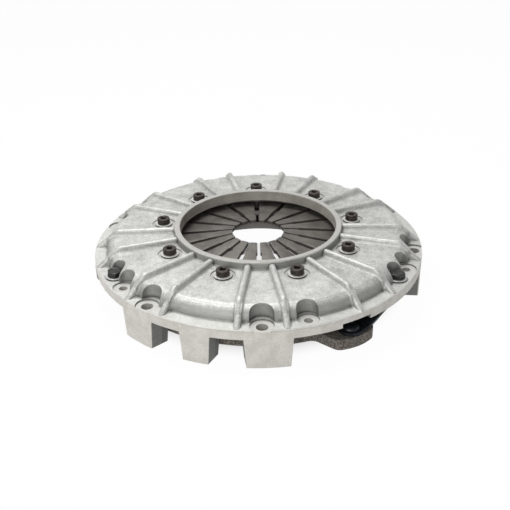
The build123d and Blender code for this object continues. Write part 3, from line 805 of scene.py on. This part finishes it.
# %% Spring fingers and cone
tip_radius, root_radius, spring_radius, spring_thickness = 26.4, 106.7, 134.0, 4.2
spring_slope = tan(radians(8.8))
tip_height = heights("diaphragm_spring")[1]
finger_count = 18
finger_step = 360 / finger_count
nose_steps = np.array([0.0, 0.12, 0.4, 0.9])    # along the rounded nose of a finger


def sheet_middle(radius):
    """Height of the sheet's middle plane on the cone."""
    return tip_height - (radius - tip_radius) * spring_slope - spring_thickness / 2


def rounded_box(width, thickness, edge, corner_points=4):
    """Closed outline of rounded rectangles, one per row of width, as offsets (across, up)."""
    bend = np.linspace(0, pi / 2, corner_points)
    across, upward = [], []
    for sx, sz, start in ((1, 1, 0), (-1, 1, pi / 2), (-1, -1, pi), (1, -1, 1.5 * pi)):
        across.append(sx * (width[:, None] / 2 - edge) + edge * np.cos(start + bend))
        rise = sz * (thickness / 2 - edge) + edge * np.sin(start + bend)
        upward.append(rise + 0 * width[:, None])
    return np.concatenate(across, 1), np.concatenate(upward, 1)


def finger():
    """One finger along +X: width = radius times 20 degrees, less the slot, which steps up
    from 2.7 to 4.8 and opens to 12.4 at the spacer window."""
    radius = np.concatenate([
        tip_radius + nose_steps, np.linspace(28.5, 41.6, 8),
        np.linspace(42.4, 44.0, 4), np.linspace(46, 93.5, 22), np.linspace(94.4, 96.5, 6),
        np.linspace(98, 107.6, 6),
    ])
    slot = np.interp(radius, [42.2, 43.4], [2.7, 4.8])
    slot = np.interp(radius, [94.3, 95.2, 97.0], [0.0, 5.0, 7.6]) + slot
    width = 2 * radius * sin(radians(finger_step / 2)) - slot
    nose = np.interp(radius, tip_radius + nose_steps, [0.35, 0.16, 0.05, 0.0])
    thickness = spring_thickness - 2 * nose[:, None] * 0.9
    across, upward = rounded_box(width - 2 * nose, thickness, 0.35)
    lift = sheet_middle(radius)[:, None] + upward
    rings = np.stack([radius[:, None] + 0 * across, across, lift], -1)
    return skin(rings)


half_sheet = spring_thickness / 2
cone = washer_profile(root_radius, spring_radius, -half_sheet, half_sheet, 0.35)
cone[:, 1] += sheet_middle(cone[:, 0])
spring = build(
    "spring_fingers",
    [moved(finger(), turn=300.0 + finger_step * k) for k in range(finger_count)]
    + [turned(cone, 144, True)],
    finger_finish, "cover", ["diaphragm_spring"], smooth_angle=40,
)
fulcrum_plane = (upper_wire_low + lower_wire_high) / 2 * MM
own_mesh(spring)

wire, wire_circle = 5.0, 108.6
for node, low in (("upper_fulcrum_ring", upper_wire_low), ("lower_fulcrum_ring", lower_wire_low)):
    section = wire_profile(wire_circle, low + wire / 2, wire)
    build(node + "_wire", [turned(section, 144, True)], wire_finish, "cover", [node])

# %% [markdown]
# ## Leaf straps
#
# Three spring-steel leaves lie on each other between a lug of the pressure plate and the cover. They
# pull the plate round with the cover and let it move along the axis. A leaf starts flat on the lug,
# rises in an S and ends flat under the flange. The S is the smooth step 3t^2 - 2t^3.

# %% Straps
strap_width, leaf_thickness, leaves = 23.0, 0.9, 3
lug_top = heights("strap_1_leaf_1")[0]
flange_low = heights("strap_1_leaf_3")[1]
rivet_flat, bolt_flat = 9.0, 22.0
strap_length = float(np.hypot(*(np.array(polar(rivet_circle, rivet_place))
                                - np.array(polar(bolt_circle, bolt_place)))))


def leaf(level):
    """Leaf along +X with its rivet at the origin: half width sqrt(R^2 - x^2) at the ends,
    and a height that follows the smooth step between the two flats."""
    end = strap_width / 2
    bow = end * (1 - np.cos(np.linspace(0.0, pi / 2, 10)))
    s_end = strap_length - bolt_flat
    along = np.concatenate([
        bow - end,
        np.linspace(2, rivet_flat, 4),
        np.linspace(rivet_flat + 1.5, s_end, 26),
        np.linspace(s_end + 3, strap_length - 1, 6),
        strap_length + end - bow[::-1],
    ])
    outside = np.maximum(np.maximum(-along, along - strap_length), 0)
    half = np.sqrt(np.maximum(end**2 - outside**2, 0.15))
    step = np.clip((along - rivet_flat) / (s_end - rivet_flat), 0, 1)
    rise = flange_low - leaves * leaf_thickness - lug_top
    middle = lug_top + (level + 0.5) * leaf_thickness + rise * (3 * step**2 - 2 * step**3)
    across, upward = rounded_box(2 * half, leaf_thickness - 0.02, 0.16, 3)
    rings = np.stack([along[:, None] + 0 * across, across, middle[:, None] + upward], -1)
    return skin(rings)


for number, sector in enumerate(SECTORS, 1):
    rivet_at = np.array(polar(rivet_circle, sector + rivet_place))
    bolt_at = np.array(polar(bolt_circle, sector + bolt_place))
    heading = np.degrees(np.arctan2(*(bolt_at - rivet_at)[::-1]))
    for level in range(leaves):
        node = f"strap_{number}_leaf_{level + 1}"
        strap = build(
            node + "_spring", [moved(leaf(level), *rivet_at, turn=heading)], strap_finish,
            None, [node],
        )
        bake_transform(strap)

# %% [markdown]
# ## Rivets, bolts, nuts and their washers
#
# The rivet's head was formed by a snap: a low dome with a small flat, on a straight shank.
# That is a profile turned round its axis.

# %% Rivet
def rivet():
    """Profile of the rivet from its lower head up to the domed head."""
    bend = np.linspace(0, pi / 2, 8)
    foot = [(6.25 - 2.2 * (1 - np.sin(b)), rivet_low + 2.2 * (1 - np.cos(b))) for b in bend]
    dome = [(7.9 - 5.2 * (1 - np.cos(b)), rivet_high - 3.4 + 3.4 * np.sin(b)) for b in bend]
    return turned(
        [(3.0, rivet_low)] + foot + [(6.25, rivet_low + 2.6), (4.0, rivet_low + 2.6),
         (4.0, rivet_high - 3.4), (7.75, rivet_high - 3.4)] + dome + [(1.2, rivet_high - 0.05)],
        count=40,
    )


print("rivet", round(rivet_high - rivet_low, 2), "mm long")

# %% [markdown]
# ## The bolt
#
# The bolt's hexagon is a ring radius again, cut by a cone at the top, which leaves the
# curved bevel of every forged bolt head: each ring takes the smaller of hexagon and cone.
# The thread is a helix in the radius: a point sinks with the fraction of a turn that its
# height is ahead of its angle.

# %% Bolt
def bevel(flats, depth):
    """Radius of the cone that bevels a hexagon, at a depth below its end face."""
    return flats / 2 * 0.94 + depth * 1.73


def hex_bolt(seat, flats=13.0, height=3.7, shank=8.0, length=20.6, pitch=1.25):
    """Rings of a bolt from its end up the thread, the shank, the hexagon and its bevel."""
    angle = np.linspace(0, 2 * pi, 48, endpoint=False)
    threaded = np.arange(seat - length + 0.9, seat - 4.0, pitch / 6)
    turn = (threaded[:, None] / pitch - angle / (2 * pi)) % 1
    lead = np.clip((threaded[:, None] - threaded[0]) / pitch, 0, 1)
    thread = shank / 2 - 0.6 * np.abs(2 * turn - 1) * lead - 0.5 * (1 - lead)
    hexed = flats / 2 * hexagon(angle)
    plain = [(shank / 2 - 1.1, seat - length), (shank / 2 - 0.6, seat - length + 0.45)]
    head = [(shank / 2, -3.4), (shank / 2, 0.0), (flats / 2 * 0.93, 0.0)]
    head += [(hexed, 0.35), (hexed, height * 0.55)]
    for up_by in np.linspace(height - 1.15, height, 8):
        head.append((np.minimum(hexed, bevel(flats, height - up_by)), up_by))
    head += [(5.0, height), (4.6, height - 0.25), (1.5, height - 0.25)]
    rows = [ring_at(radius, angle, z) for radius, z in plain]
    rows += list(ring_at(thread, angle, threaded[:, None]))
    rows += [ring_at(radius, angle, seat + up_by) for radius, up_by in head]
    return skin(np.array(rows))


print("bolt head on", round(lock_high, 2), "mm")

# %% [markdown]
# ## Nut and split washer
#
# A nut is the bolt's hexagon as a closed loop: up the flats and back down the bore. The
# split washer is a small rectangle carried along an arc that stops short of a full turn and
# climbs a little, so its two ends stand apart as they do before it is squeezed.

# %% Nut and split washer
def hex_nut(low, high, flats=13.0, bore=8.1):
    """Looped rings of a nut: bore, lower bevel, flats, and back to the bore."""
    angle = np.linspace(0, 2 * pi, 48, endpoint=False)
    hexed = flats / 2 * hexagon(angle)
    rows = [(np.minimum(hexed, bevel(flats, z)), low + z) for z in np.linspace(0, 1.0, 6)]
    rows += [(hexed, high - 0.3), (flats / 2 * 0.95, high)]
    rows += [(bore / 2 + 0.3, high), (bore / 2, high - 0.4)]
    rows += [(bore / 2, low + 0.4), (bore / 2 + 0.4, low)]
    return skin(np.array([ring_at(radius, angle, z) for radius, z in rows]), looped=True)


def lock_washer(low, high, bore=8.4, outside=14.2, gap=10.0):
    """Split ring: a rounded rectangle carried along an arc that stops short of a full turn."""
    steps, rise = 60, 0.15
    angle = np.radians(np.linspace(gap, 360 - gap, steps))[:, None]
    width, thickness = (outside - bore) / 2, high - low
    across, upward = rounded_box(np.full(steps, width), thickness - 2 * rise, 0.25)
    lift = np.linspace(-rise, rise, steps)[:, None]
    rings = ring_at((outside + bore) / 4 + across, angle, (low + high) / 2 + upward + lift)
    return skin(rings[:, ::-1])


print("split washer", round(lock_high - lock_low, 2), "mm thick")

# %% [markdown]
# ## Fasteners in place
#
# Each sector has one rivet on the lug and one bolt with its washers and nut on the flange.
# They are turned a few degrees from sector to sector, as a fitter leaves them. The rivet
# moves with the plate, and the rest stays with the cover.

# %% Fasteners of the straps
for number, sector in enumerate(SECTORS, 1):
    lug, seat = polar(rivet_circle, sector + rivet_place), polar(bolt_circle, sector + bolt_place)
    facing = 4.0 * number    # degrees
    flat_ring = turned(washer_profile(4.2, 9.25, bolt_washer_low, bolt_washer_high, 0.3), 64, True)
    nut_low, nut_high = heights(f"strap_nut_{number}")
    for name, shell, place, finish, body, slot_name in (
        ("strap_rivet", rivet(), lug, strap_finish, "pressure_plate", "blued_steel"),
        ("strap_bolt", hex_bolt(lock_high), seat, bolt_finish, "cover", "black_oxide"),
        ("bolt_washer", flat_ring, seat, washer_finish, "cover", "zinc_steel"),
        ("spring_washer", lock_washer(lock_low, lock_high), seat, bolt_finish, "cover",
         "black_oxide"),
        ("strap_nut", hex_nut(nut_low, nut_high), seat, nut_finish, "cover", "zinc_steel"),
    ):
        node = f"{name}_{number}"
        build(node + "_piece", [moved(shell, *place, turn=facing)], finish, body,
              [node], smooth_angle=40)

# %% [markdown]
# ## Table, light and air
#
# The part stands on a plain white table under two square soft boxes: one above, a little to
# the left and behind, and one from the front left that lights the feet. The table and the
# world are plain white to the camera and in reflections. For the rest of the light they are
# a pale grey, so the lamps decide how bright the part is, and the table keeps a faint
# shadow.
#
# White below the camera would also show through the part's openings, where the table really lies in
# deep shadow. So the table glows less under the part. Two places stay bright, and they are painted
# light placed there for the main view: the disc of light behind the hub's hole and the streaks behind
# the slots between the front fingers. From other sides they don't line up, and the hub's hole looks
# grey.

# %% Floor
light_spot = (0.0014, 0.1003)    # metres from the clutch axis


def white_table():
    f = Finish("table")
    camera_ray = f.node("ShaderNodeLightPath", {}, output="Is Camera Ray")
    pale = f.mix(camera_ray, (0.40, 0.40, 0.40), (0.97, 0.97, 0.97))
    f.feed(f.shader, {"Base Color": pale, "Roughness": 0.9})
    ray = camera_ray.at_least(camera_ray.beside("Is Glossy Ray"))
    ray = ray.at_least(camera_ray.beside("Is Transmission Ray"))
    beside, behind = f.x - light_spot[0], f.y - light_spot[1]
    spot = 1 - (behind * behind + beside * beside).root().between(0.0300, 0.0325)
    middle_slot = 1 - abs(f.x).between(0.004, 0.010)
    next_slots = (1 - abs(f.x).between(0.022, 0.034)) * (f.y < 0.042)
    streak = (middle_slot + next_slots).at_most(1.0) * (f.y > -0.03)
    under = (1 - f.reach.between(0.10, 0.158)) * (1 - spot) * (1 - streak * 0.75)
    glow = f.node("ShaderNodeEmission", {}, (1, 1, 1))
    share = ray * (0.975 - under * 0.87)
    both = f.node("ShaderNodeMixShader", {}, share, Wave(f, f.shader.outputs[0]), glow)
    f.feed(f.tree.nodes["Material Output"], {"Surface": both})
    print("table's light spot at", light_spot)
    return f.material


table_half, table_height = 6.0, -0.0002
table_corners = [
    (sx * table_half, sy * table_half, table_height)
    for sx, sy in ((-1, -1), (1, -1), (1, 1), (-1, 1))
]
floor_mesh = bpy.data.meshes.new("table")
floor_mesh.from_pydata(table_corners, [], [(0, 1, 2, 3)])
table = bpy.data.objects.new("table", floor_mesh)
bpy.context.scene.collection.objects.link(table)
table.data.materials.append(white_table())
table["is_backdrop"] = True

# %% World and lamps
world = bpy.data.worlds.new("air")
world.use_nodes = True
bpy.context.scene.world = world
air = Nodes(world.node_tree)
way_up = air.node(
    "ShaderNodeSeparateXYZ", {}, air.node("ShaderNodeTexCoord", {}, output="Generated"), output=2
)
backdrop = air.node(
    "ShaderNodeMapRange", {"interpolation_type": "SMOOTHSTEP"}, way_up, 0.25, 0.75, 1.0, 0.25
)
camera_ray = air.node("ShaderNodeLightPath", {}, output="Is Camera Ray")
mirrored = camera_ray.beside("Is Glossy Ray") * backdrop
lamp_share, seen_share = 0.14, 1.0
strength = air.node(
    "ShaderNodeMapRange", {}, camera_ray.at_least(mirrored), 0.0, 1.0, lamp_share, seen_share
)
air.feed(air.tree.nodes["Background"], {"Color": (1, 1, 1), "Strength": strength})
print("world at", lamp_share, "of white for the light on the part")


def soft_box(name, place, aim, size, watts):
    """A square area lamp that faces a point."""
    lamp = bpy.data.lights.new(name, "AREA")
    lamp.shape, lamp.size, lamp.energy = "SQUARE", size, watts
    box = bpy.data.objects.new(name, lamp)
    box.location = place
    box.rotation_mode = "QUATERNION"
    box.rotation_quaternion = (Vector(aim) - Vector(place)).to_track_quat("-Z", "Y")
    bpy.context.scene.collection.objects.link(box)
    print("lamp", name, watts, "W")


soft_box("top_box", (-0.21, 0.22, 1.20), (0, 0, 0), 0.7, 12.5)
soft_box("front_box", (-0.60, -1.30, 0.65), (0, 0, 0.03), 0.8, 8.6)

# %% Sizes and finish
low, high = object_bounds()
print("visual box in mm:", [round(v / MM, 1) for v in (*low, *high)])
